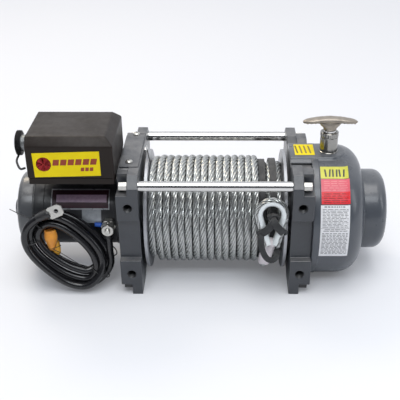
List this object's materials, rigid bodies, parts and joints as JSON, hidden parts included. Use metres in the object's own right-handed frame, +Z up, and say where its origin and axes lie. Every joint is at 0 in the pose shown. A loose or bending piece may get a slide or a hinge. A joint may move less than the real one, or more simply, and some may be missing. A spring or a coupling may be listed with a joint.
{
  "type": "electric recovery winch",
  "caption": "Electric drum winch: grey cast side supports and gear housing, black motor with a control box, wound wire rope with a thimble eye, chrome tie rods and a T-handle clutch.",
  "frame": {"origin": "centre of the rectangular bolt pattern on the front mounting face", "axes": "+X along the drum towards the gear end, +Y from the front mounting face to the back, +Z up"},
  "size_m": [0.5775, 0.2093, 0.2549],
  "materials": {
    "grey_casting": "satin grey paint on cast aluminium",
    "bright_steel": "polished",
    "zinc_plate": "zinc plated",
    "black_steel": "black oxide",
    "wire_rope": "galvanised wire",
    "drum_steel": "grey paint",
    "motor_black": "satin black paint",
    "box_plastic": "fine moulded grain",
    "black_rubber": "smooth",
    "socket_metal": "dull",
    "orange_rubber": "soft",
    "yellow_rubber": "soft",
    "nickel_casting": "cast and nickel plated"
  },
  "bodies": {
    "frame": {"motor_side_support": "grey_casting", "gear_side_support": "grey_casting", "support_cover_plate": "grey_casting", "front_tie_rod": "bright_steel", "rear_tie_rod": "bright_steel", "tie_rod_bolts": "zinc_plate", "foot_nuts": "black_steel", "motor_casing": "motor_black", "motor_end_cap": "motor_black", "motor_terminal": "zinc_plate", "terminal_lug": "zinc_plate", "control_box_cover": "box_plastic", "control_box_base": "box_plastic", "control_box_bracket": "black_steel", "remote_socket": "socket_metal", "remote_socket_cap": "black_rubber", "gear_housing": "grey_casting", "gear_end_cover": "grey_casting", "clutch_sleeve": "bright_steel", "battery_lead_coil": "black_rubber", "battery_lead_tube": "black_rubber", "lead_end_lug": "zinc_plate", "orange_boot": "orange_rubber", "yellow_boot": "yellow_rubber"},
    "drum": {"drum_tube": "drum_steel", "motor_side_flange": "drum_steel", "gear_side_flange": "drum_steel", "rope_pack": "wire_rope", "hold_strap": "black_rubber", "rope_eye": "wire_rope", "thimble": "zinc_plate", "ferrule": "zinc_plate", "rope_tail": "wire_rope"},
    "clutch_lift": {"clutch_plunger": "bright_steel"},
    "clutch_turn": {"clutch_handle": "nickel_casting"}
  },
  "joints": [
    {"name": "drum_spin", "type": "hinge", "parent": "frame", "child": "drum", "pos_m": [0, 0.101, 0.00225], "axis": [1, 0, 0], "continuous": true},
    {"name": "clutch_lift", "type": "slide", "parent": "frame", "child": "clutch_lift", "axis": [0, 0, 1], "range_m": [0, 0.008], "stiffness_N_per_m": 400, "springref_m": -0.01},
    {"name": "clutch_turn", "type": "hinge", "parent": "clutch_lift", "child": "clutch_turn", "pos_m": [0.1715, 0.101, 0.14], "axis": [0, 0, 1], "range_deg": [0, 90]}
  ]
}
